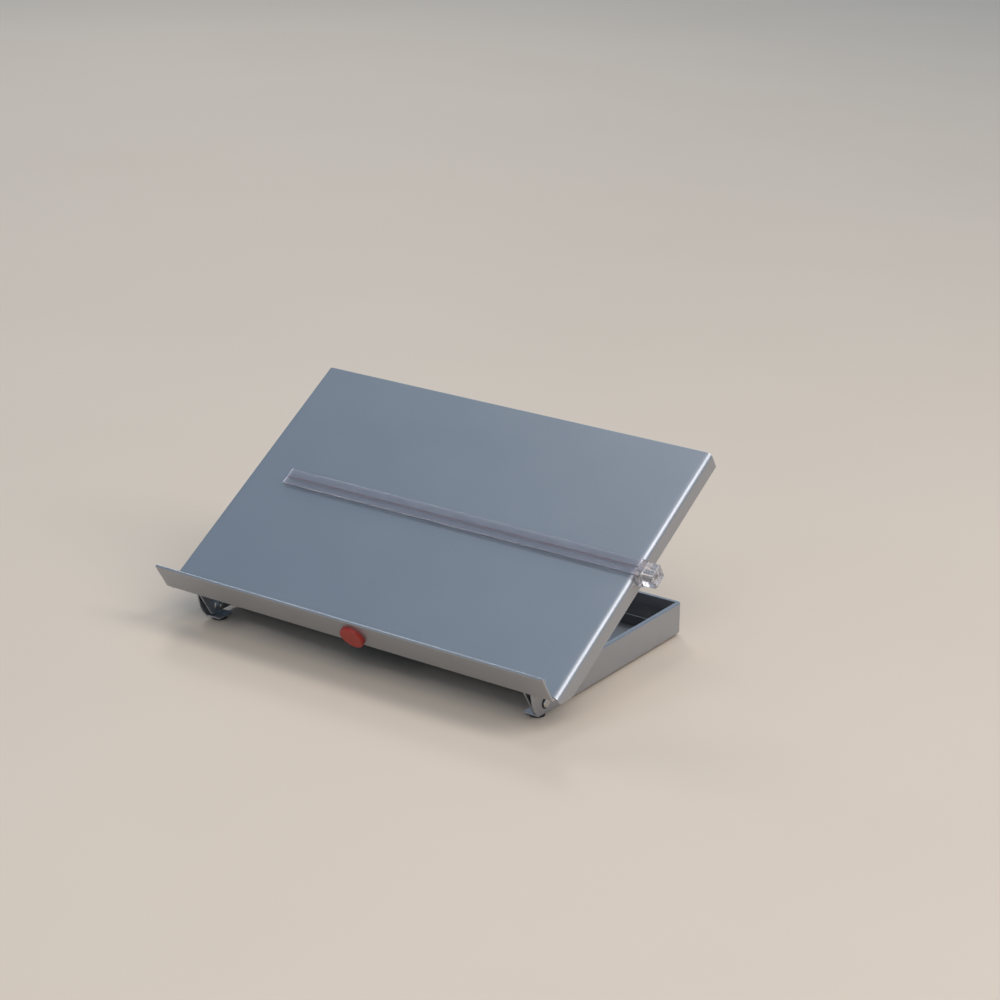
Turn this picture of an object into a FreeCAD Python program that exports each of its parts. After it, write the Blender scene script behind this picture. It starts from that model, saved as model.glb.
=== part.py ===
"""Document holder with drawer: a folded steel board on a low base, with a line guide and a magnet.

Two frames are used. In the base frame Y runs to the rear and Z up, with the hinge axis at Y = 0 and the
desk at Z = 0. In the board frame Y runs up the slope and Z out of the board's face, with the hinge axis
at Y = Z = 0; the board frame is turned about the hinge axis by the tilt.
"""

import FreeCAD, Part
import os
import re

import Sketcher

SIZES = [
    # whole object
    ("sheet", 1.2),
    ("tilt", 32.2),
    ("origin_x", 0.0),
    ("origin_y", 0.0),
    # base
    ("base_width", 326.4),
    ("base_back", 192.8),
    ("rim_height", 28.5),
    ("foot_height", 2.6),
    ("arm_foot", 8.8),
    ("arm_top", 19.8),
    ("arm_knee", 15.9),
    ("knee_height", 11.0),
    ("knee_radius", 22.0),
    ("floor_front", 25.0),
    ("tab_width", 14.0),
    ("tab_depth", 16.4),
    ("corner_radius", 4.0),
    ("hem_width", 3.6),
    ("hem_height", 8.0),
    ("edge_radius", 1.0),
    ("rubber_foot_radius", 6.0),
    ("rear_foot_inset", 13.0),
    # hinge
    ("pin_height", 11.5),
    ("pin_radius", 2.5),
    ("running_gap", 0.05),
    ("head_radius", 3.9),
    ("head_height", 1.2),
    ("bush_radius", 4.8),
    ("bush_thickness", 0.5),
    ("friction_washer_radius", 7.0),
    ("friction_washer_thickness", 3.2),
    ("spring_washer_radius", 5.5),
    ("spring_washer_height", 0.9),
    ("nut_flats", 8.0),
    ("nut_height", 2.4),
    ("pin_end", 0.8),
    # lugs that carry the board
    ("lug_thickness", 1.6),
    ("lug_radius", 7.5),
    ("heel_reach", 10.4),
    ("heel_drop", 1.3),
    ("lug_back", 20.0),
    ("lug_flange", 12.0),
    # board
    ("board_overhang", 26.0),
    ("board_length", 249.6),
    ("face_height", 28.8),
    ("ledge_reach", 13.94),
    ("ledge_height", 25.6),
    ("ledge_inset", 1.9),
    ("ledge_bend", 2.5),
    ("side_bend", 4.5),
    ("ledge_hem", 4.5),
    ("hem_round", 1.1),
    ("cut_edge_radius", 0.4),
    ("flange_depth", 15.7),
    ("flange_start", 4.0),
    ("relief_slot", 1.4),
    ("relief_beyond", 1.2),
    ("chamfer_along", 12.8),
    ("chamfer_down", 8.1),
    ("bumper_radius", 6.0),
    ("bumper_gap", 0.3),
    ("bumper_inset", 30.0),
    # drawer and its runners
    ("drawer_gap", 1.2),
    ("drawer_face", 22.0),
    ("drawer_rear_gap", 15.1),
    ("drawer_top", 15.0),
    ("drawer_sheet", 1.0),
    ("drawer_corner", 3.0),
    ("drawer_travel", 118.0),
    ("glide_thickness", 1.5),
    ("glide_width", 10.0),
    ("glide_inset", 26.0),
    ("slide_gap", 0.3),
    ("runner_gap", 0.8),
    ("runner_foot", 8.0),
    ("runner_hook", 4.0),
    ("stop_height", 1.2),
    ("stop_width", 20.0),
    ("stop_place", 60.0),
    ("catch_depth", 6.0),
    ("pull_width", 70.0),
    ("pull_reach", 9.0),
    ("pull_drop", 4.5),
    ("pull_plate", 8.0),
    ("pull_top_gap", 2.5),
    # line guide
    ("guide_place", 116.2),
    ("guide_width", 15.2),
    ("guide_gap", 1.3),
    ("guide_thickness", 1.5),
    ("guide_left_end", 151.0),
    ("line_width", 0.9),
    ("line_depth", 0.4),
    ("carriage_gap", 0.4),
    ("carriage_plate", 4.2),
    ("carriage_drop", 11.8),
    ("carriage_corner", 1.2),
    ("jaw_width", 6.0),
    ("jaw_thickness", 1.6),
    ("jaw_height", 6.0),
    # clamp knob
    ("knob_width", 14.2),
    ("knob_corner", 1.8),
    ("knob_length", 10.6),
    ("knob_gap", 0.4),
    ("knob_drop", 4.4),
    ("knob_rim", 0.8),
    ("knob_dish_radius", 4.5),
    ("knob_dish_depth", 0.8),
    ("screw_radius", 2.0),
    ("screw_grip", 8.0),
    ("pad_radius", 2.4),
    ("pad_thickness", 1.0),
    # magnet on the ledge
    ("magnet_place", 8.0),
    ("magnet_up", 10.2),
    ("magnet_radius", 10.4),
    ("magnet_thickness", 3.8),
    ("magnet_rim", 0.9),
    ("ferrite_radius", 8.0),
    ("ferrite_thickness", 2.4),
    ("magnet_gap", 0.1),
]
NAMES = {name for name, _ in SIZES}
PLANES = {"x": "YZ_Plane", "y": "XZ_Plane", "z": "XY_Plane"}

doc = FreeCAD.newDocument("document_holder")
sheet = doc.addObject("Spreadsheet::Sheet", "Sizes")
for row, (name, number) in enumerate(SIZES, start=1):
    sheet.set(f"A{row}", name)
    sheet.set(f"B{row}", str(number))
    sheet.setAlias(f"B{row}", name)
doc.recompute()
nodes = []


# ---- small tools on top of the document ----

def linked(text):
    """The expression with each size's name turned into its cell of the sheet."""
    return re.sub(r"[a-z_]+", lambda m: "Sizes." + m[0] if m[0] in NAMES else m[0], text)


def value(text):
    """The number that an expression in the sheet's sizes has now."""
    return float(sheet.evalExpression(text))


def place(thing, frame, at=("0", "0", "0")):
    """Puts a finished piece in the base frame or in the tilted board frame."""
    x, y, z = at
    if frame == "board":
        thing.Placement = FreeCAD.Placement(
            FreeCAD.Vector(), FreeCAD.Rotation(FreeCAD.Vector(1, 0, 0), 1)
        )
        thing.setExpression("Placement.Rotation.Angle", linked("tilt"))
        z = f"pin_height + {z}"
    for axis, text in zip("xyz", (f"{x} - origin_x", f"{y} - origin_y", z)):
        thing.setExpression(f"Placement.Base.{axis}", linked(text))


def new_body(label, frame):
    """An empty body for one piece, whose label is the node's name."""
    piece = doc.addObject("PartDesign::Body", label)
    piece.Label = label
    place(piece, frame)
    nodes.append(piece)
    return piece


def rectangle(a0, b0, a1, b1):
    return [(a0, b0), (a1, b0), (a1, b1), (a0, b1)]


def fix_point(sketch, geometry, corner, a, b):
    """Ties one point of a sketch to two expressions."""
    for kind, text in (("DistanceX", a), ("DistanceY", b)):
        rule = Sketcher.Constraint(kind, -1, 1, geometry, corner, value(text))
        index = sketch.addConstraint(rule)
        sketch.setExpression(f"Constraints[{index}]", linked(text))


def draw_polygon(sketch, points):
    corners = [FreeCAD.Vector(value(a), value(b), 0) for a, b in points]
    first = sketch.GeometryCount
    count = len(points)
    for i in range(count):
        sketch.addGeometry(Part.LineSegment(corners[i], corners[(i + 1) % count]), False)
    for i in range(count):
        follows = first + (i + 1) % count
        sketch.addConstraint(Sketcher.Constraint("Coincident", first + i, 2, follows, 1))
    for i, (a, b) in enumerate(points):
        fix_point(sketch, first + i, 1, a, b)


def draw_circle(sketch, a, b, radius):
    centre = FreeCAD.Vector(value(a), value(b), 0)
    circle = Part.Circle(centre, FreeCAD.Vector(0, 0, 1), value(radius))
    index = sketch.addGeometry(circle, False)
    fix_point(sketch, index, 3, a, b)
    rule = sketch.addConstraint(Sketcher.Constraint("Radius", index, value(radius)))
    sketch.setExpression(f"Constraints[{rule}]", linked(radius))


def new_sketch(piece, name, axis, start, loops):
    """A sketch square to an axis of the piece, at a distance along it. A loop of corners is a polygon,
    and a loop of three expressions is a circle."""
    sketch = piece.newObject("Sketcher::SketchObject", f"{piece.Label}_{name}")
    plane = next(f for f in piece.Origin.OriginFeatures if f.Role == PLANES[axis])
    sketch.AttachmentSupport = [(plane, "")]
    sketch.MapMode = "FlatFace"
    offset = f"-({start})" if axis == "y" else start
    sketch.setExpression("AttachmentOffset.Base.z", linked(offset))
    for loop in loops:
        if isinstance(loop[0], str):
            draw_circle(sketch, *loop)
        else:
            draw_polygon(sketch, loop)
    return sketch


def add(piece, name, axis, start, length, *loops):
    """Adds the loops' area from start, going length along the axis."""
    pad = piece.newObject("PartDesign::Pad", f"{piece.Label}_{name}_pad")
    pad.Profile = new_sketch(piece, name, axis, start, loops)
    pad.Reversed = axis == "y"
    pad.setExpression("Length", linked(length))
    doc.recompute()
    return pad


def cut(piece, name, axis, start, length, *loops):
    """Cuts the loops' area from start, going length along the axis."""
    before = piece.Tip.Shape.Volume
    pocket = piece.newObject("PartDesign::Pocket", f"{piece.Label}_{name}_pocket")
    pocket.Profile = new_sketch(piece, name, axis, start, loops)
    pocket.Reversed = axis != "y"
    pocket.setExpression("Length", linked(length))
    doc.recompute()
    if not pocket.Shape.Volume < before:
        raise ValueError(f"{piece.Label}: the cut {name} removes nothing")
    return pocket


def straight(axis, **where):
    """A test for a straight edge along an axis whose middle has the given coordinates."""
    def test(edge):
        if edge.Curve.TypeId != "Part::GeomLine":
            return False
        if abs(abs(getattr(edge.Curve.Direction, axis)) - 1) > 1e-6:
            return False
        middle = edge.CenterOfMass
        return all(abs(getattr(middle, k) - v) < 0.02 for k, v in where.items())
    return test


def ring(axis, radius, at):
    """A test for a round edge of a radius, square to an axis, at a distance along it."""
    def test(edge):
        if edge.Curve.TypeId != "Part::GeomCircle" or abs(edge.Curve.Radius - radius) > 0.01:
            return False
        return abs(getattr(edge.Curve.Center, axis) - at) < 0.02
    return test


def treat(piece, kind, name, amount, *tests):
    """Rounds or chamfers the edges that pass one of the tests."""
    last = piece.Tip
    found = [
        f"Edge{i}" for i, edge in enumerate(last.Shape.Edges, start=1)
        if any(test(edge) for test in tests)
    ]
    if not found:
        raise ValueError(f"{piece.Label}: no edge found for {name}")
    feature = piece.newObject(f"PartDesign::{kind}", f"{piece.Label}_{name}")
    feature.Base = (last, found)
    feature.setExpression("Radius" if kind == "Fillet" else "Size", linked(amount))
    doc.recompute()


def group(label, frame, members):
    """One node made of equal, separate solids."""
    compound = doc.addObject("Part::Compound", label)
    compound.Label = label
    compound.Links = members
    place(compound, frame)
    nodes.append(compound)


def disc(name, x, y, z, radius, height):
    """A plain upright cylinder of a group, standing at a point."""
    cylinder = doc.addObject("Part::Cylinder", name)
    cylinder.setExpression("Radius", linked(radius))
    cylinder.setExpression("Height", linked(height))
    for axis, text in zip("xyz", (x, y, z)):
        cylinder.setExpression(f"Placement.Base.{axis}", linked(text))
    return cylinder


def block(name, low, size):
    """A plain box of a group, from its low corner."""
    box = doc.addObject("Part::Box", name)
    for side, text in zip(("Length", "Width", "Height"), size):
        box.setExpression(side, linked(text))
    for axis, text in zip("xyz", low):
        box.setExpression(f"Placement.Base.{axis}", linked(text))
    return box


def span(side, inner, thickness):
    """Where a slab that lies inner from the middle plane starts along X, on the side +1 or -1."""
    return inner if side > 0 else f"-({inner}) - ({thickness})"


SIDES = {"right": 1, "left": -1}


# ---- base: one folded tray, open at the front, with two arms and foot tabs ----

def make_base_tray():
    tray = new_body("base_tray", "base")
    half = "base_width / 2"
    inner = "base_width / 2 - sheet"
    height = "rim_height - foot_height"
    outline = rectangle(f"-{half}", "-arm_top", half, "base_back")
    add(tray, "shell", "z", "foot_height", height, outline)
    corners = [straight("z", x=s * value(half), y=value("base_back")) for s in (1, -1)]
    treat(tray, "Fillet", "rear_corners", "corner_radius", *corners)
    # the hollow between the walls, down to the desk ahead of the floor
    hollow = rectangle(f"-({inner})", "-arm_top - 1", inner, "base_back - sheet")
    cut(tray, "hollow", "z", "foot_height + sheet", height, hollow)
    ahead = rectangle(f"-({inner})", "-arm_top - 1", inner, "floor_front")
    cut(tray, "front_opening", "z", "foot_height - 1", "sheet + 2", ahead)
    inside = [
        straight("z", x=s * value(inner), y=value("base_back - sheet")) for s in (1, -1)
    ]
    treat(tray, "Fillet", "inner_corners", "corner_radius - sheet", *inside)
    # the rim, folded back on itself
    for name, side in SIDES.items():
        leaf = rectangle("floor_front", "rim_height - hem_height", "base_back - sheet", "rim_height")
        start = span(side, "base_width / 2 - hem_width", "sheet")
        add(tray, f"hem_leaf_{name}", "x", start, "sheet", leaf)
        cap = rectangle("floor_front", "rim_height - sheet", "base_back - sheet", "rim_height")
        start = span(side, "base_width / 2 - hem_width", "hem_width - sheet")
        add(tray, f"hem_cap_{name}", "x", start, "hem_width - sheet", cap)
    across = "base_width / 2 - hem_width"
    leaf = rectangle(f"-({across})", "rim_height - hem_height", across, "rim_height")
    add(tray, "hem_leaf_rear", "y", "base_back - hem_width", "sheet", leaf)
    cap = rectangle(f"-({inner})", "rim_height - sheet", inner, "rim_height")
    add(tray, "hem_cap_rear", "y", "base_back - hem_width", "hem_width - sheet", cap)
    # the arms' sloping front edges
    slope = [
        ("-arm_top - 1", "foot_height - 1"),
        ("-arm_foot", "foot_height - 1"),
        ("-arm_foot", "foot_height"),
        ("-arm_knee", "knee_height"),
        ("-arm_top", "rim_height"),
        ("-arm_top - 1", "rim_height"),
    ]
    cut(tray, "arm_slope", "x", f"-{half} - 1", "base_width + 2", slope)
    knees = straight("x", y=-value("arm_knee"), z=value("knee_height"))
    treat(tray, "Fillet", "arm_knees", "knee_radius", knees)
    for name, side in SIDES.items():
        tab = rectangle("-arm_foot", "foot_height", "tab_depth - arm_foot", "foot_height + sheet")
        start = span(side, "base_width / 2 - tab_width", "tab_width - sheet / 2")
        add(tray, f"tab_{name}", "x", start, "tab_width - sheet / 2", tab)
        hole = ("0", "pin_height", "pin_radius + running_gap")
        start = span(side, "base_width / 2 - 2 * sheet", "3 * sheet")
        cut(tray, f"pin_hole_{name}", "x", start, "3 * sheet", hole)
    # the tongues that stop the drawer
    for name, side in SIDES.items():
        middle = f"{side} * stop_place"
        tongue = rectangle(
            f"{middle} - stop_width / 2", "foot_height + sheet / 2",
            f"{middle} + stop_width / 2", "foot_height + sheet + stop_height",
        )
        add(tray, f"stop_{name}", "y", "floor_front", "sheet", tongue)
    rim = value("rim_height")
    rear = value("base_back")
    rounded = [straight("y", x=s * value(half), z=rim) for s in (1, -1)]
    rounded += [straight("x", y=rear, z=rim), ring("z", value("corner_radius"), rim)]
    treat(tray, "Fillet", "rim_round", "edge_radius", *rounded)
    low = value("foot_height")
    bottom = [straight("y", x=s * value(half), z=low) for s in (1, -1)]
    bottom += [straight("x", y=rear, z=low), ring("z", value("corner_radius"), low)]
    treat(tray, "Fillet", "bottom_bend", "edge_radius", *bottom)


def make_rubber_feet():
    feet = []
    for name, side in SIDES.items():
        x = f"{side} * (base_width / 2 - tab_width / 2)"
        front = "tab_depth / 2 - arm_foot"
        feet.append(disc(f"foot_front_{name}", x, front, "0", "rubber_foot_radius", "foot_height"))
        x = f"{side} * (base_width / 2 - rear_foot_inset)"
        rear = "base_back - rear_foot_inset"
        feet.append(disc(f"foot_rear_{name}", x, rear, "0", "rubber_foot_radius", "foot_height"))
    group("rubber_feet", "base", feet)


# ---- hinge: a bolt, a black bush, a friction washer, a spring washer and a nut on each side ----

LUG_OUTER = "base_width / 2 - sheet - friction_washer_thickness - running_gap"
LUG_INNER = f"{LUG_OUTER} - lug_thickness"
SPRING_INNER = f"{LUG_INNER} - running_gap - spring_washer_height"
NUT_INNER = f"{SPRING_INNER} - nut_height"
PIN_AT = ("0", "pin_height")


def make_hinge_bolt(name, side):
    bolt = new_body(f"hinge_bolt_{name}", "base")
    shank_start = f"{NUT_INNER} - pin_end"
    under_head = "base_width / 2 + bush_thickness"
    shank = f"{under_head} - ({shank_start})"
    add(bolt, "shank", "x", span(side, shank_start, shank), shank, (*PIN_AT, "pin_radius"))
    head = (*PIN_AT, "head_radius")
    add(bolt, "head", "x", span(side, under_head, "head_height"), "head_height", head)
    outer = side * value(f"{under_head} + head_height")
    treat(bolt, "Fillet", "dome", "head_height * 0.8", ring("x", value("head_radius"), outer))
    tip = side * value(shank_start)
    treat(bolt, "Chamfer", "tip", "pin_radius / 4", ring("x", value("pin_radius"), tip))


def make_washer(label, side, inner, thickness, radius):
    washer = new_body(label, "base")
    hole = (*PIN_AT, "pin_radius + running_gap")
    add(washer, "ring", "x", span(side, inner, thickness), thickness, (*PIN_AT, radius), hole)
    return washer


def make_lock_nut(name, side):
    nut = new_body(f"lock_nut_{name}", "base")
    corner = "nut_flats / 2 / cos(30)"
    points = []
    for i in range(6):
        angle = 60 * i
        points.append((f"{corner} * cos({angle})", f"pin_height + {corner} * sin({angle})"))
    start = span(side, NUT_INNER, "nut_height")
    add(nut, "hexagon", "x", start, "nut_height", points, (*PIN_AT, "pin_radius"))


def make_hinges():
    for name, side in SIDES.items():
        make_hinge_bolt(name, side)
        bush = make_washer(f"hinge_bush_{name}", side, "base_width / 2", "bush_thickness", "bush_radius")
        edge = side * value("base_width / 2 + bush_thickness")
        treat(bush, "Fillet", "rim", "bush_thickness / 2", ring("x", value("bush_radius"), edge))
        make_washer(
            f"friction_washer_{name}", side, "base_width / 2 - sheet - friction_washer_thickness",
            "friction_washer_thickness", "friction_washer_radius",
        )
        spring = make_washer(
            f"spring_washer_{name}", side, SPRING_INNER, "spring_washer_height", "spring_washer_radius"
        )
        edge = side * value(SPRING_INNER)
        rim = ring("x", value("spring_washer_radius"), edge)
        treat(spring, "Chamfer", "cone", "spring_washer_height * 0.7", rim)
        make_lock_nut(name, side)


def make_hinge_lug(name, side):
    """An angle bracket spot-welded under the board; its heel meets the foot tab at the steepest tilt."""
    lug = new_body(f"hinge_lug_{name}", "board")
    under = "face_height - sheet"
    plate = [
        ("-heel_reach", under),
        ("-heel_reach", "-heel_drop"),
        ("-lug_radius * cos(49)", "-lug_radius * sin(49)"),
        ("lug_radius", "0"),
        ("lug_back", under),
    ]
    start = span(side, LUG_INNER, "lug_thickness")
    add(lug, "plate", "x", start, "lug_thickness", plate)
    add(lug, "eye", "x", start, "lug_thickness", ("0", "0", "lug_radius"))
    flange = rectangle("-heel_reach", f"{under} - lug_thickness", "lug_back", under)
    length = "lug_flange - lug_thickness"
    add(lug, "flange", "x", span(side, f"{LUG_OUTER} - lug_flange", length), length, flange)
    cut(lug, "hole", "x", start, "lug_thickness", ("0", "0", "pin_radius + running_gap"))


# ---- board: one folded sheet with a ledge at its foot and a flange down each side ----

BOARD_HALF = "(base_width / 2 + board_overhang)"


def make_board_panel():
    board = new_body("board_panel", "board")
    half = BOARD_HALF
    front = "-ledge_reach"
    rear = "board_length - ledge_reach"
    under = "face_height - sheet"
    add(board, "face", "z", under, "sheet", rectangle(f"-{half}", front, half, rear))
    ledge = rectangle(front, under, f"{front} + sheet", "face_height + ledge_height")
    ledge_half = f"({half} - ledge_inset)"
    add(board, "ledge", "x", f"-{ledge_half}", f"2 * {ledge_half}", ledge)
    lip = "face_height + ledge_height"
    hem = rectangle(f"{front} + sheet", f"{lip} - ledge_hem", f"{front} + 2 * sheet", lip)
    add(board, "ledge_hem", "x", f"-{ledge_half}", f"2 * {ledge_half}", hem)
    start = f"{front} + flange_start"
    low = "face_height - flange_depth"
    side_outline = [
        (start, "face_height"),
        (rear, "face_height"),
        (rear, low),
        (f"{start} + chamfer_along", low),
        (start, f"{low} + chamfer_down"),
    ]
    notch_inner = f"{half} - side_bend - relief_beyond"
    notch_front = f"{start} - relief_slot"
    corner = [
        (notch_inner, start), (notch_inner, notch_front), (ledge_half, notch_front),
        (ledge_half, f"{front} - 1"), (f"{half} + 1", f"{front} - 1"), (f"{half} + 1", start),
    ]
    for name, side in SIDES.items():
        wall = span(side, f"{half} - sheet", "sheet")
        add(board, f"flange_{name}", "x", wall, "sheet", side_outline)
        relief = [(f"{side} * ({x})", u) for x, u in corner]
        cut(board, f"relief_{name}", "z", f"{under} - 1", "sheet + 2", relief)
    face = value("face_height")
    lower = value(under)
    edge = value(front)
    top = value(lip)
    along = value(f"({start} + {rear}) / 2")
    outer = [straight("y", x=s * value(half), z=face, y=along) for s in (1, -1)]
    treat(board, "Fillet", "side_bend_outer", "side_bend", *outer)
    inner = [straight("y", x=s * value(f"{half} - sheet"), z=lower) for s in (1, -1)]
    treat(board, "Fillet", "side_bend_inner", "side_bend - sheet", *inner)
    treat(board, "Fillet", "ledge_bend_outer", "ledge_bend", straight("x", y=edge, z=lower))
    inside = straight("x", y=edge + value("sheet"), z=face)
    treat(board, "Fillet", "ledge_bend_inner", "ledge_bend - sheet", inside)
    lips = [straight("x", y=edge + offset, z=top) for offset in (0, value("2 * sheet"))]
    treat(board, "Fillet", "ledge_top", "hem_round", *lips)


def make_bump_stops():
    """Rubber stops under the board, which meet the rear rim when the board lies flat."""
    height = "pin_height + face_height - sheet - rim_height - bumper_gap"
    low = f"face_height - sheet - ({height})"
    y = "base_back - hem_width / 2"
    stops = []
    for name, side in SIDES.items():
        x = f"{side} * (base_width / 2 - bumper_inset)"
        stops.append(disc(f"bump_stop_{name}", x, y, low, "bumper_radius", height))
    group("bump_stops", "board", stops)


# ---- drawer: a shallow tray with a front, a pull, a catch, glides and runners ----

DRAWER_HALF = "base_width / 2 - tab_width - drawer_gap"
FLOOR = "foot_height + sheet"
DRAWER_LOW = f"{FLOOR} + glide_thickness + slide_gap"
DRAWER_REAR = "base_back - hem_width - drawer_rear_gap"
RUNNER_FRONT = "floor_front + 2 * sheet"


def make_drawer_tray():
    drawer = new_body("drawer_tray", "base")
    front = "drawer_face + sheet"
    height = f"drawer_top - ({DRAWER_LOW})"
    outer = rectangle(f"-({DRAWER_HALF})", front, DRAWER_HALF, DRAWER_REAR)
    add(drawer, "block", "z", DRAWER_LOW, height, outer)
    half = value(DRAWER_HALF)
    corners = [straight("z", x=s * half, y=value(DRAWER_REAR)) for s in (1, -1)]
    treat(drawer, "Fillet", "corners", "drawer_corner", *corners)
    inner_half = f"{DRAWER_HALF} - drawer_sheet"
    inner = rectangle(
        f"-({inner_half})", f"{front} + drawer_sheet", inner_half, f"{DRAWER_REAR} - drawer_sheet"
    )
    cut(drawer, "hollow", "z", f"{DRAWER_LOW} + drawer_sheet", height, inner)
    inside = [
        straight("z", x=s * value(inner_half), y=value(f"{DRAWER_REAR} - drawer_sheet")) for s in (1, -1)
    ]
    treat(drawer, "Fillet", "inner_corners", "drawer_corner - drawer_sheet", *inside)


def make_drawer_front():
    front = new_body("drawer_front", "base")
    panel = rectangle(f"-({DRAWER_HALF})", f"{FLOOR} + slide_gap", DRAWER_HALF, "drawer_top")
    add(front, "panel", "y", "drawer_face", "sheet", panel)
    half = value(DRAWER_HALF)
    top = [straight("y", x=s * half, z=value("drawer_top")) for s in (1, -1)]
    treat(front, "Fillet", "corners", "sheet", *top)


def make_drawer_pull():
    """A folded strip: a plate on the drawer's front, a shelf forward and a turned-down finger edge."""
    pull = new_body("drawer_pull", "base")
    top = "drawer_top - pull_top_gap"
    tip = "drawer_face - pull_reach"
    profile = [
        ("drawer_face", top),
        (tip, top),
        (tip, f"{top} - pull_drop"),
        (f"{tip} + sheet", f"{top} - pull_drop"),
        (f"{tip} + sheet", f"{top} - sheet"),
        ("drawer_face - sheet", f"{top} - sheet"),
        ("drawer_face - sheet", f"{top} - pull_plate"),
        ("drawer_face", f"{top} - pull_plate"),
    ]
    add(pull, "strip", "x", "-pull_width / 2", "pull_width", profile)
    treat(pull, "Fillet", "nose", "edge_radius", straight("x", y=value(tip), z=value(top)))


def make_drawer_catch():
    """Two nylon blocks under the drawer, which meet the base's tongues when it is fully out."""
    y = "floor_front + sheet + drawer_travel + slide_gap"
    low = f"{FLOOR} + slide_gap"
    height = f"{DRAWER_LOW} - ({low})"
    blocks = []
    for name, side in SIDES.items():
        corner = (f"{side} * stop_place - stop_width / 2", y, low)
        blocks.append(block(f"catch_{name}", corner, ("stop_width", "catch_depth", height)))
    group("drawer_catch", "base", blocks)


def make_drawer_glides():
    """Two slippery strips on the base's floor, which carry the drawer."""
    length = f"{DRAWER_REAR} - ({RUNNER_FRONT})"
    strips = []
    for name, side in SIDES.items():
        x = f"{side} * ({DRAWER_HALF} - glide_inset) - glide_width / 2"
        size = ("glide_width", length, "glide_thickness")
        strips.append(block(f"glide_{name}", (x, RUNNER_FRONT, FLOOR), size))
    group("drawer_glides", "base", strips)


def make_drawer_runner(name, side):
    """A folded rail beside the drawer, hooked over its wall."""
    runner = new_body(f"drawer_runner_{name}", "base")
    web = f"{DRAWER_HALF} + runner_gap"
    hook = "drawer_top + slide_gap"
    length = f"{DRAWER_REAR} - ({RUNNER_FRONT})"
    shape = [
        (f"{web} + runner_foot", FLOOR),
        (web, FLOOR),
        (web, hook),
        (f"{web} - runner_hook", hook),
        (f"{web} - runner_hook", f"{hook} + sheet"),
        (f"{web} + sheet", f"{hook} + sheet"),
        (f"{web} + sheet", f"{FLOOR} + sheet"),
        (f"{web} + runner_foot", f"{FLOOR} + sheet"),
    ]
    profile = [(f"{side} * ({x})", z) for x, z in shape]
    add(runner, "rail", "y", RUNNER_FRONT, length, profile)
    outer_top = straight("y", x=side * value(f"{web} + sheet"), z=value(f"{hook} + sheet"))
    treat(runner, "Fillet", "bend", "edge_radius", outer_top)


# ---- line guide: a clear ruler with a red line, on a clear carriage that hugs the right flange ----

RULER_LOW = "face_height + guide_gap"
RULER_TOP = f"{RULER_LOW} + guide_thickness"
GUIDE_FRONT = "guide_place - guide_width / 2"
GUIDE_REAR = "guide_place + guide_width / 2"
CARRIAGE_INNER = f"{BOARD_HALF} + carriage_gap"
CARRIAGE_OUTER = f"{CARRIAGE_INNER} + carriage_plate"
FLANGE_LOW = "face_height - flange_depth"
KNOB_AT = ("guide_place", "face_height - knob_drop")
KNOB_INNER = f"{CARRIAGE_OUTER} + knob_gap"


def line_groove():
    """The red line's outline across the ruler's underside, along the board's slope and thickness."""
    return rectangle(
        "guide_place - line_width / 2", RULER_LOW,
        "guide_place + line_width / 2", f"{RULER_LOW} + line_depth",
    )


def make_guide_ruler():
    ruler = new_body("guide_ruler", "board")
    strip = rectangle(GUIDE_FRONT, RULER_LOW, GUIDE_REAR, RULER_TOP)
    length = f"guide_left_end + {CARRIAGE_OUTER}"
    add(ruler, "strip", "x", "-guide_left_end", length, strip)
    cut(ruler, "line_groove", "x", "-guide_left_end", f"guide_left_end + {CARRIAGE_INNER}", line_groove())
    top = value(RULER_TOP)
    long_edges = [straight("x", y=value(y), z=top) for y in (GUIDE_FRONT, GUIDE_REAR)]
    left_end = straight("y", x=value("-guide_left_end"), z=top)
    treat(ruler, "Fillet", "top_edges", "cut_edge_radius", *long_edges, left_end)


def make_guide_line():
    line = new_body("guide_line", "board")
    length = f"guide_left_end + {CARRIAGE_INNER}"
    add(line, "strip", "x", "-guide_left_end", length, line_groove())


def make_guide_carriage():
    """A clear block outside the flange, with a slim jaw that passes under the flange and up inside it."""
    carriage = new_body("guide_carriage", "board")
    block = rectangle(GUIDE_FRONT, "face_height - carriage_drop", GUIDE_REAR, RULER_LOW)
    add(carriage, "block", "x", CARRIAGE_INNER, "carriage_plate", block)
    outer = value(CARRIAGE_OUTER)
    upright = [straight("z", x=outer, y=value(y)) for y in (GUIDE_FRONT, GUIDE_REAR)]
    treat(carriage, "Fillet", "outer_corners", "carriage_corner", *upright)
    jaw_front = "guide_place - jaw_width / 2"
    jaw_rear = "guide_place + jaw_width / 2"
    jaw_low = f"{FLANGE_LOW} - carriage_gap - jaw_thickness"
    stem = rectangle(jaw_front, jaw_low, jaw_rear, "face_height - carriage_drop")
    add(carriage, "stem", "x", CARRIAGE_INNER, "jaw_thickness", stem)
    jaw_inner = f"{BOARD_HALF} - sheet - carriage_gap - jaw_thickness"
    jaw = rectangle(jaw_front, jaw_low, jaw_rear, f"{jaw_low} + jaw_thickness")
    add(carriage, "jaw", "x", jaw_inner, f"{CARRIAGE_INNER} + jaw_thickness - ({jaw_inner})", jaw)
    finger = rectangle(jaw_front, jaw_low, jaw_rear, f"{jaw_low} + jaw_height")
    add(carriage, "finger", "x", jaw_inner, "jaw_thickness", finger)
    hole = (*KNOB_AT, "screw_radius + running_gap")
    cut(carriage, "screw_hole", "x", f"{CARRIAGE_INNER} - 1", "carriage_plate + 2", hole)
    seat = (*KNOB_AT, "pad_radius + running_gap")
    cut(carriage, "pad_seat", "x", f"{CARRIAGE_INNER} - 1", "1 + pad_thickness", seat)


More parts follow.
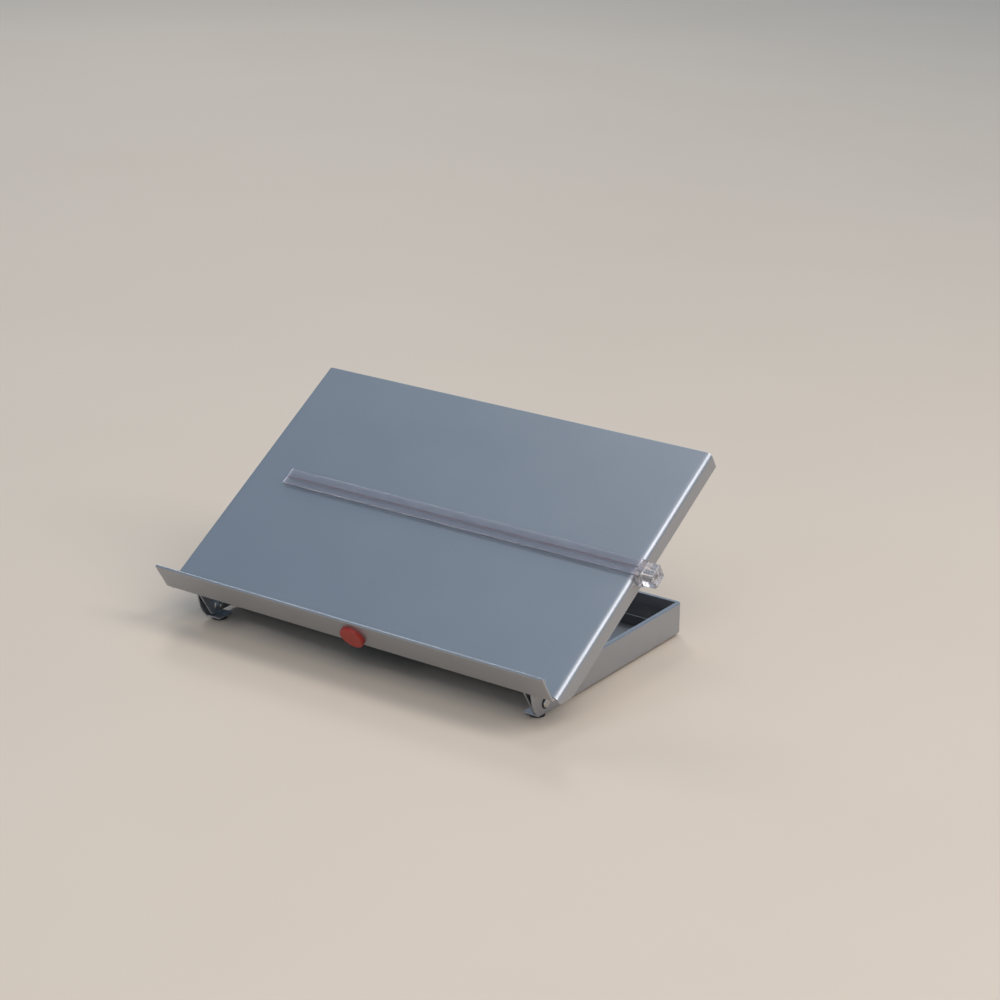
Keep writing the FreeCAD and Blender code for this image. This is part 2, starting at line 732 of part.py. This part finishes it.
def make_guide_knob():
    """A square clear knob, which lines up with the carriage when the guide is clamped."""
    knob = new_body("guide_knob", "board")
    across, middle = KNOB_AT
    half = "knob_width / 2"
    square = rectangle(
        f"{across} - {half}", f"{middle} - {half}", f"{across} + {half}", f"{middle} + {half}"
    )
    add(knob, "block", "x", KNOB_INNER, "knob_length", square)
    fronts = [value(f"{across} {sign} {half}") for sign in "-+"]
    lows = [value(f"{middle} {sign} {half}") for sign in "-+"]
    corners = [straight("x", y=y, z=z) for y in fronts for z in lows]
    treat(knob, "Fillet", "corners", "knob_corner", *corners)
    outer = value(f"{KNOB_INNER} + knob_length")
    rim = [straight("z", x=outer, y=y) for y in fronts] + [straight("y", x=outer, z=z) for z in lows]
    treat(knob, "Fillet", "rim", "knob_rim", *rim)
    dish = (*KNOB_AT, "knob_dish_radius")
    cut(knob, "dish", "x", f"{KNOB_INNER} + knob_length - knob_dish_depth", "knob_dish_depth + 1", dish)
    cut(knob, "bore", "x", KNOB_INNER, "screw_grip", (*KNOB_AT, "screw_radius"))


def make_knob_screw():
    screw = new_body("knob_screw", "board")
    start = f"{CARRIAGE_INNER} + pad_thickness"
    length = f"{KNOB_INNER} + screw_grip - ({start})"
    add(screw, "shank", "x", start, length, (*KNOB_AT, "screw_radius"))


def make_pressure_pad():
    pad = new_body("pressure_pad", "board")
    start = f"{BOARD_HALF} + running_gap"
    length = f"{CARRIAGE_INNER} + pad_thickness - ({start})"
    add(pad, "disc", "x", start, length, (*KNOB_AT, "pad_radius"))


# ---- magnet on the ledge: a red cap with a ferrite disc set in its back ----

MAGNET_BACK = "-ledge_reach - magnet_gap"
MAGNET_AT = ("magnet_place", "face_height + magnet_up")


def make_magnet():
    cap = new_body("magnet_cap", "board")
    front = f"{MAGNET_BACK} - magnet_thickness"
    add(cap, "disc", "y", front, "magnet_thickness", (*MAGNET_AT, "magnet_radius"))
    treat(cap, "Fillet", "rim", "magnet_rim", ring("y", value("magnet_radius"), value(front)))
    seat = f"{MAGNET_BACK} - ferrite_thickness"
    cut(cap, "seat", "y", seat, "ferrite_thickness", (*MAGNET_AT, "ferrite_radius"))
    ferrite = new_body("magnet_ferrite", "board")
    add(ferrite, "disc", "y", seat, "ferrite_thickness", (*MAGNET_AT, "ferrite_radius"))


def make_everything():
    make_base_tray()
    make_rubber_feet()
    make_hinges()
    make_drawer_tray()
    make_drawer_front()
    make_drawer_pull()
    make_drawer_catch()
    make_drawer_glides()
    make_board_panel()
    make_bump_stops()
    for name, side in SIDES.items():
        make_hinge_lug(name, side)
        make_drawer_runner(name, side)
    make_guide_ruler()
    make_guide_line()
    make_guide_carriage()
    make_guide_knob()
    make_knob_screw()
    make_pressure_pad()
    make_magnet()


def centre_on_footprint():
    """Moves the origin under the middle of the whole object's box."""
    doc.recompute()
    box = FreeCAD.BoundBox()
    for node in nodes:
        box.add(node.Shape.optimalBoundingBox(False))
    sheet.set(sheet.getCellFromAlias("origin_x"), f"{box.Center.x:.3f}")
    sheet.set(sheet.getCellFromAlias("origin_y"), f"{box.Center.y:.3f}")
    doc.recompute()
    print(f"origin at {box.Center.x:.3f}, {box.Center.y:.3f}; size "
          f"{box.XLength:.1f} x {box.YLength:.1f} x {box.ZLength:.1f}")


def check():
    for thing in doc.Objects:
        if "Invalid" in thing.State or "Error" in thing.State:
            raise ValueError(f"{thing.Name} failed: {thing.State}")
    for node in nodes:
        if node.Shape.isNull() or not node.Shape.isValid():
            raise ValueError(f"{node.Label} has no valid shape")


def write():
    os.makedirs("parts", exist_ok=True)
    for node in nodes:
        node.Shape.exportStep(f"parts/{node.Label}.step")
    print(f"{len(nodes)} nodes")


make_everything()
centre_on_footprint()
check()
write()
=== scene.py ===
"""A folded-steel document holder on a pale desk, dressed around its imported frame, in metres."""

import math

import bpy
from mathutils import Matrix, Vector


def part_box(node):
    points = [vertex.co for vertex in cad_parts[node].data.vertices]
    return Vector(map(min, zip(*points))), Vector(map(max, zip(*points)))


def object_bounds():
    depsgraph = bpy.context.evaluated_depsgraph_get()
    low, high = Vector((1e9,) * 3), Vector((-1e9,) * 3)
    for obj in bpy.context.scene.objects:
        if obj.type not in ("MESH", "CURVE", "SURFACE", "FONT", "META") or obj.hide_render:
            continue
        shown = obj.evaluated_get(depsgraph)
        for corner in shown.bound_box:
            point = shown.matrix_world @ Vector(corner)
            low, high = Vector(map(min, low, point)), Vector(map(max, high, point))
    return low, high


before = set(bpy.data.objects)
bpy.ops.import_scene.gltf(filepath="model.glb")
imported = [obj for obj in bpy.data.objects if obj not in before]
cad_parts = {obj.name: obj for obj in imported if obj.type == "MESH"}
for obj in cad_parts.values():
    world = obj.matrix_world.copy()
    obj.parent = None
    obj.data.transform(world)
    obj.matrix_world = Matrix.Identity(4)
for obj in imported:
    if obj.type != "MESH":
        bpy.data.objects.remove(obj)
cad_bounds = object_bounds()

# ---- Camera --------------------------------------------------------------------------------------
# A long lens, 88.96 mm on a 36 mm sensor, in front of the holder and to its right. It looks down at the
# desk by about twenty degrees and is rolled by less than one.

CAMERA_AT = Vector((1.0835, -1.461837, 0.7765))
CAMERA_AZIMUTH = math.radians(35.03)
CAMERA_DROP = math.radians(19.97)
CAMERA_ROLL = math.radians(0.66)
CAMERA_LENS_MM = 88.96

eye = bpy.data.cameras.new("eye")
eye.lens = CAMERA_LENS_MM
eye.sensor_width = 36.0
camera = bpy.data.objects.new("camera", eye)
camera.matrix_world = (
    Matrix.Translation(CAMERA_AT)
    @ Matrix.Rotation(CAMERA_AZIMUTH, 4, "Z")
    @ Matrix.Rotation(math.pi / 2 - CAMERA_DROP, 4, "X")
    @ Matrix.Rotation(CAMERA_ROLL, 4, "Z")
)
bpy.context.scene.collection.objects.link(camera)
bpy.context.scene.camera = camera


# ---- Desk and light ------------------------------------------------------------------------------
# A wide pale desk top in a dim, bluish room. A large lamp in front lights it, and a tall softbox on the
# right draws the bright line along the board's fold. Two small lamps, one behind on the left and one
# overhead, draw the ledge's top edge and brighten the board towards the right.

class Link:
    """One output of a material's nodes. It can stand in a sum with numbers and other outputs."""

    def __init__(self, finish, socket):
        self.finish = finish
        self.socket = socket

    def sum(self, operation, first, second):
        return self.finish.node("ShaderNodeMath", {"operation": operation}, {0: first, 1: second})

    def __add__(self, other):
        return self.sum("ADD", self, other)

    def __radd__(self, other):
        return self.sum("ADD", other, self)

    def __sub__(self, other):
        return self.sum("SUBTRACT", self, other)

    def __rsub__(self, other):
        return self.sum("SUBTRACT", other, self)

    def __mul__(self, other):
        return self.sum("MULTIPLY", self, other)

    def __rmul__(self, other):
        return self.sum("MULTIPLY", other, self)


class Nodes:
    """The nodes of one material, or of the world."""

    def __init__(self, tree):
        self.tree = tree

    def node(self, kind, settings=None, sockets=None, out=0):
        """Makes a node, sets its settings, then feeds its sockets with values or links."""
        made = self.tree.nodes.new(kind)
        for name, setting in (settings or {}).items():
            setattr(made, name, setting)
        for name, value in (sockets or {}).items():
            self.feed(made.inputs[name], value)
        return Link(self, made.outputs[out])

    def feed(self, socket, value):
        if isinstance(value, Link):
            self.tree.links.new(value.socket, socket)
        else:
            socket.default_value = value

    def mix(self, factor, first, second):
        """A colour between two colours."""
        return self.node("ShaderNodeMix", {"data_type": "RGBA"}, {0: factor, 6: first, 7: second}, 2)

    def noise(self, where, scale, detail=2.0, roughness=0.5):
        settings = {"noise_dimensions": "3D"}
        sockets = {"Vector": where, "Scale": scale, "Detail": detail, "Roughness": roughness}
        return self.node("ShaderNodeTexNoise", settings, sockets)

    def ramp(self, source, low, high):
        """0 where the source is below low, 1 where it is above high, smooth between."""
        settings = {"interpolation_type": "SMOOTHSTEP"}
        return self.node("ShaderNodeMapRange", settings, {0: source, 1: low, 2: high})

    def along(self, where, direction):
        """How far a point lies along a direction."""
        settings = {"operation": "DOT_PRODUCT"}
        return self.node("ShaderNodeVectorMath", settings, {0: where, 1: direction}, 1)

    def edge(self, width):
        """Rises from 0 on flat metal to about 0.3 along the edges, within a width of them."""
        rounded = self.node("ShaderNodeBevel", {"samples": 6}, {"Radius": width})
        flat = self.node("ShaderNodeNewGeometry", out="Normal")
        return 1.0 - self.along(rounded, flat)

    def bump(self, height, distance, strength=1.0):
        sockets = {"Height": height, "Distance": distance, "Strength": strength}
        return self.node("ShaderNodeBump", None, sockets)


class Finish(Nodes):
    """A material around one Principled shader, whose fixed sockets are set by name."""

    def __init__(self, name, fixed):
        self.material = bpy.data.materials.new(name)
        self.material.use_nodes = True
        super().__init__(self.material.node_tree)
        self.shader = self.tree.nodes["Principled BSDF"]
        for socket, value in fixed.items():
            self.shader.inputs[socket].default_value = value
        self.where = self.node("ShaderNodeTexCoord", out="Object")

    def drive(self, **sockets):
        """Feeds the shader's sockets; an underscore in a name stands for a space."""
        for name, value in sockets.items():
            self.feed(self.shader.inputs[name.replace("_", " ")], value)
        return self.material


def rgb(red, green, blue):
    """A colour from its screen values of 0 to 255."""
    def linear(c):
        c = c / 255
        return c / 12.92 if c <= 0.04045 else ((c + 0.055) / 1.055) ** 2.4
    return (linear(red), linear(green), linear(blue), 1.0)


DESK_SPAN = 40.0
DESK_COLOUR = rgb(230, 211, 191)
DESK_MOTTLE = rgb(225, 205, 184)
MOTTLE_SCALE = 3.0

desk_finish = Finish("desk_top", {"Roughness": 0.6, "Specular IOR Level": 0.25})
mottle = desk_finish.noise(desk_finish.where, MOTTLE_SCALE, 3.0)
desk_finish.drive(Base_Color=desk_finish.mix(mottle, DESK_COLOUR, DESK_MOTTLE))
desk_mesh = bpy.data.meshes.new("desk_top")
half_desk = DESK_SPAN / 2
desk_level = cad_bounds[0][2]
signs = ((-1, -1), (1, -1), (1, 1), (-1, 1))
corners = [(sx * half_desk, sy * half_desk, desk_level) for sx, sy in signs]
desk_mesh.from_pydata(corners, [], [(0, 1, 2, 3)])
desk_mesh.materials.append(desk_finish.material)
desk = bpy.data.objects.new("desk_top", desk_mesh)
bpy.context.scene.collection.objects.link(desk)


WARM_WHITE = (1.0, 0.92, 0.84)
SOFT_WHITE = (1.0, 0.97, 0.95)
PLAIN_WHITE = (1.0, 0.98, 0.97)
ROOM_COLOUR = (0.232, 0.334, 0.452, 1.0)


def softbox(name, direction, distance, width, height, radiance, colour):
    """A rectangular soft lamp that faces the holder, as bright as its radiance says."""
    light = bpy.data.lights.new(name, "AREA")
    light.shape = "RECTANGLE"
    light.size = width
    light.size_y = height
    light.energy = radiance * math.pi * width * height
    light.color = colour
    box = bpy.data.objects.new(name, light)
    at = Vector(direction).normalized() * distance
    box.matrix_world = Matrix.Translation(at) @ at.to_track_quat("Z", "Y").to_matrix().to_4x4()
    bpy.context.scene.collection.objects.link(box)


softbox("key_box", (0.35, -0.50, 0.79), 5.0, width=3.0, height=3.0, radiance=2.6, colour=WARM_WHITE)
softbox("fold_box", (0.70, 0.12, 0.70), 3.0, width=1.1, height=2.4, radiance=4.2, colour=PLAIN_WHITE)
softbox("edge_box", (-0.60, 0.56, 0.57), 4.0, width=1.0, height=1.0, radiance=6.5, colour=SOFT_WHITE)
softbox("top_box", (-0.22, 0.20, 0.955), 4.0, width=1.1, height=1.1, radiance=2.6, colour=SOFT_WHITE)

room = bpy.data.worlds.new("room")
room.use_nodes = True
room.node_tree.nodes["Background"].inputs["Color"].default_value = ROOM_COLOUR
bpy.context.scene.world = room
bpy.context.scene.view_settings.view_transform = "Standard"


# ---- Base tray -----------------------------------------------------------------------------------
# One sheet of steel, folded up at the sides and rear, with its rim folded back on itself. It is sprayed
# with a satin silver-grey paint, whose fine flake and faint orange peel show in the highlights. Along
# its edges the paint's colour is lightened, partly as wear and partly as a painted highlight.

PAINT = rgb(173, 174, 178)
PAINT_DEEP = rgb(164, 166, 170)
PAINT_FLAKE = rgb(205, 206, 210)
PAINT_WORN_AND_HIGHLIGHT = rgb(226, 226, 228)
PAINT_FIXED = {"Metallic": 0.78, "IOR": 1.5, "Coat Weight": 0.10, "Coat Roughness": 0.15}
CLOUD_SCALE = 9.0
FLAKE_SCALE = 1500.0
PEEL_SCALE = 420.0
PEEL_DEPTH = 0.00004
SMEAR_SCALE = 34.0
WORN_AND_HIGHLIGHT_WIDTH = 0.0007


def sprayed_steel(name, tone=1.0, wear_and_highlight=0.7):
    """The satin paint. Its tone shifts slowly over a piece, as sprayed paint does, and a tone below 1
    darkens it all. Its edges are lightened, partly as wear and partly as a painted highlight.
    """
    paint = Finish(name, PAINT_FIXED)
    cloud = paint.noise(paint.where, CLOUD_SCALE, 3.0)
    flake = paint.ramp(paint.noise(paint.where, FLAKE_SCALE, 1.0), 0.62, 0.78)
    peel = paint.noise(paint.where, PEEL_SCALE, 2.0)
    smear = paint.noise(paint.where, SMEAR_SCALE, 4.0, 0.6)
    # This mask lightens the paint along its edges, partly as wear and partly as a painted highlight.
    worn_and_highlight = paint.ramp(paint.edge(WORN_AND_HIGHLIGHT_WIDTH) + 0.10 * smear, 0.06, 0.22)
    deep = tuple(tone * c for c in PAINT_DEEP[:3]) + (1.0,)
    light = tuple(tone * c for c in PAINT[:3]) + (1.0,)
    sprayed = paint.mix(flake * 0.30, paint.mix(cloud, deep, light), PAINT_FLAKE)
    return paint.drive(
        Base_Color=paint.mix(worn_and_highlight * wear_and_highlight, sprayed, PAINT_WORN_AND_HIGHLIGHT),
        Roughness=0.33 + 0.08 * smear + 0.04 * peel,
        Normal=paint.bump(peel, PEEL_DEPTH, 0.35),
    )


def dress(material, *names):
    """Puts one material in every material slot of some CAD nodes."""
    for name in names:
        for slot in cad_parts[name].material_slots:
            slot.material = material


dress(sprayed_steel("base_paint"), "base_tray")


# ---- Rubber feet ---------------------------------------------------------------------------------
# Four round pads of black moulded rubber. Two are stuck under the foot tabs of the base's front arms,
# and two under its floor near the rear corners.

RUBBER_GRAIN_SCALE = 900.0
DUST_SCALE = 120.0


def moulded_rubber(name, colour):
    """Dull black rubber with a fine grain and a little pale dust."""
    rubber = Finish(name, {"Specular IOR Level": 0.35, "IOR": 1.52})
    grain = rubber.noise(rubber.where, RUBBER_GRAIN_SCALE, 3.0)
    dust = rubber.noise(rubber.where, DUST_SCALE, 4.0)
    dusty = tuple(min(1.0, 2.2 * c + 0.01) for c in colour[:3]) + (1.0,)
    return rubber.drive(
        Base_Color=rubber.mix(dust * 0.5, colour, dusty),
        Roughness=0.70 + 0.2 * grain,
        Normal=rubber.bump(grain, 0.00005, 0.5),
    )


dress(moulded_rubber("foot_rubber", rgb(40, 40, 42)), "rubber_feet")


# ---- Hinges --------------------------------------------------------------------------------------
# On each side a domed bolt passes a black nylon bush, the wall, a friction washer and the board's lug,
# and is held by a sprung washer and a lock nut. The steel pieces are turned and zinc plated.

ZINC_BRIGHT = rgb(214, 214, 212)
ZINC_DULL = rgb(184, 184, 182)
STAIN_SCALE = 260.0
RINGS_PER_METRE = 16000.0
NYLON_GRAIN_SCALE = 700.0


def turned_zinc(name, axis_point):
    """Plated steel with the fine rings that a lathe leaves about the X axis."""
    steel = Finish(name, {"Metallic": 1.0})
    y = steel.along(steel.where, (0.0, 1.0, 0.0)) - axis_point[0]
    z = steel.along(steel.where, (0.0, 0.0, 1.0)) - axis_point[1]
    radius = steel.node("ShaderNodeMath", {"operation": "SQRT"}, {0: y * y + z * z})
    rings = steel.node("ShaderNodeMath", {"operation": "SINE"}, {0: radius * RINGS_PER_METRE})
    stain = steel.noise(steel.where, STAIN_SCALE, 4.0)
    return steel.drive(
        Base_Color=steel.mix(stain, ZINC_BRIGHT, ZINC_DULL),
        Roughness=0.20 + 0.16 * stain,
        Normal=steel.bump(rings * 0.5 + stain * 0.5, 0.00002, 0.5),
    )


def moulded_nylon(name, colour, light):
    """Satin nylon, between two close tones, with a fine grain."""
    nylon = Finish(name, {"Specular IOR Level": 0.45, "IOR": 1.53})
    grain = nylon.noise(nylon.where, NYLON_GRAIN_SCALE, 3.0)
    return nylon.drive(
        Base_Color=nylon.mix(grain, colour, light),
        Roughness=0.42 + 0.15 * grain,
        Normal=nylon.bump(grain, 0.00003, 0.4),
    )


def axis_of(name):
    """The Y and Z of the line through the middle of a round CAD node."""
    low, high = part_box(name)
    return ((low.y + high.y) / 2, (low.z + high.z) / 2)


hinge_zinc = turned_zinc("hinge_zinc", axis_of("hinge_bolt_right"))
hinge_nylon = moulded_nylon("hinge_nylon", rgb(34, 34, 36), rgb(46, 46, 49))
for side in ("left", "right"):
    dress(hinge_zinc, f"hinge_bolt_{side}", f"spring_washer_{side}", f"lock_nut_{side}")
    dress(hinge_nylon, f"hinge_bush_{side}", f"friction_washer_{side}")


# ---- Drawer --------------------------------------------------------------------------------------
# A shallow welded tray with a flat front and a folded pull. It runs on two nylon strips between folded
# rails, and nylon blocks under it meet the base's tongues when it is fully out.

# The drawer's paint is darkened to two thirds of its tone: painted shade for the dim space under the
# board. Its edges are not lightened.
drawer_paint_with_painted_shade = sprayed_steel("drawer_paint_with_painted_shade", tone=0.66, wear_and_highlight=0.0)
dress(drawer_paint_with_painted_shade, "drawer_tray", "drawer_front", "drawer_pull")
dress(drawer_paint_with_painted_shade, "drawer_runner_left", "drawer_runner_right")
slide_nylon = moulded_nylon("slide_nylon", rgb(222, 221, 214), rgb(232, 231, 226))
dress(slide_nylon, "drawer_glides", "drawer_catch")


# ---- Board ---------------------------------------------------------------------------------------
# One sheet with a ledge folded up along its foot and a flange folded down each side, carried by two
# spot-welded lugs. Two rubber stops under it meet the base's rim when it is laid flat.

dress(sprayed_steel("board_paint"), "board_panel")
dress(sprayed_steel("lug_paint", tone=0.97), "hinge_lug_left", "hinge_lug_right")
dress(moulded_rubber("stop_rubber", rgb(48, 48, 50)), "bump_stops")


# ---- Line guide ----------------------------------------------------------------------------------
# A strip of clear acrylic with a red line inked in a groove beneath it. Its carriage and clamp knob are
# clear mouldings; the knob turns a plated screw against a nylon pad on the board's flange.

CLEAR_FIXED = {"IOR": 1.49, "Specular IOR Level": 0.5}
CLEAR_HAZE = rgb(250, 249, 251)
CLEAR_FROST = rgb(252, 246, 248)
HAZE_SCALE = 160.0


def clear_acrylic(name, clarity, roughness, painted_reflection_tint, edge_width):
    """Clear plastic, faintly hazy from handling, whose frosted edges catch the light. Its faint
    mauve-pink tint is a painted reflection of the red line and of warm surroundings.
    """
    clear = Finish(name, {"Transmission Weight": clarity, **CLEAR_FIXED})
    haze = clear.noise(clear.where, HAZE_SCALE, 4.0)
    frost = clear.ramp(clear.edge(edge_width), 0.02, 0.16)
    body = clear.mix(haze, painted_reflection_tint, CLEAR_HAZE)
    return clear.drive(
        Base_Color=clear.mix(frost * 0.6, body, CLEAR_FROST),
        Metallic=frost * 0.6,
        Roughness=roughness + 0.05 * haze + 0.30 * frost,
    )


# The faint mauve-pink tints given here are a painted reflection of the red line and of warm surroundings.
dress(clear_acrylic("ruler_acrylic", 0.93, 0.03, rgb(244, 236, 242), 0.0006), "guide_ruler")
dress(clear_acrylic("carriage_acrylic", 0.85, 0.08, rgb(244, 236, 238), 0.0008), "guide_carriage")
dress(clear_acrylic("knob_acrylic", 0.82, 0.07, rgb(246, 238, 240), 0.0010), "guide_knob")

INK_RED = rgb(150, 46, 62)
INK_FADED = rgb(132, 52, 66)
ink = Finish("line_ink", {"Specular IOR Level": 0.4})
fade = ink.noise(ink.where, 90.0, 3.0)
line_ink = ink.drive(Base_Color=ink.mix(fade, INK_RED, INK_FADED), Roughness=0.4 + 0.1 * fade)
dress(line_ink, "guide_line")

dress(turned_zinc("screw_zinc", axis_of("knob_screw")), "knob_screw")
dress(moulded_nylon("pad_nylon", rgb(60, 60, 63), rgb(70, 70, 74)), "pressure_pad")


# ---- Magnet --------------------------------------------------------------------------------------
# A round red moulded cap with a ferrite disc pressed into its back. It holds the paper against the ledge,
# and stays there by its own pull.

CAP_RED = rgb(176, 56, 46)
CAP_DEEP = rgb(158, 48, 40)
CAP_RUBBED_AND_HIGHLIGHT = rgb(214, 128, 118)
CAP_RIM_WIDTH = 0.0008
FERRITE_DARK = rgb(48, 47, 47)
FERRITE_GREY = rgb(66, 64, 63)

cap = Finish("cap_red", {"IOR": 1.5, "Specular IOR Level": 0.45})
skin = cap.noise(cap.where, 600.0, 3.0)
rub = cap.noise(cap.where, 150.0, 4.0)
# This mask lightens the cap towards pink along its rim, partly as rubbing and partly as a painted
# highlight.
rubbed_and_highlight = cap.ramp(cap.edge(CAP_RIM_WIDTH) + 0.06 * rub, 0.04, 0.20)
cap_plastic = cap.drive(
    Base_Color=cap.mix(rubbed_and_highlight * 0.5, cap.mix(rub, CAP_RED, CAP_DEEP), CAP_RUBBED_AND_HIGHLIGHT),
    Roughness=0.36 + 0.14 * rub,
    Normal=cap.bump(skin, 0.00003, 0.4),
)
dress(cap_plastic, "magnet_cap")

ferrite = Finish("ferrite", {"Specular IOR Level": 0.5})
sinter = ferrite.noise(ferrite.where, 1200.0, 4.0)
ferrite_stone = ferrite.drive(
    Base_Color=ferrite.mix(sinter, FERRITE_DARK, FERRITE_GREY),
    Roughness=0.55 + 0.2 * sinter,
    Normal=ferrite.bump(sinter, 0.00004, 0.6),
)
dress(ferrite_stone, "magnet_ferrite")
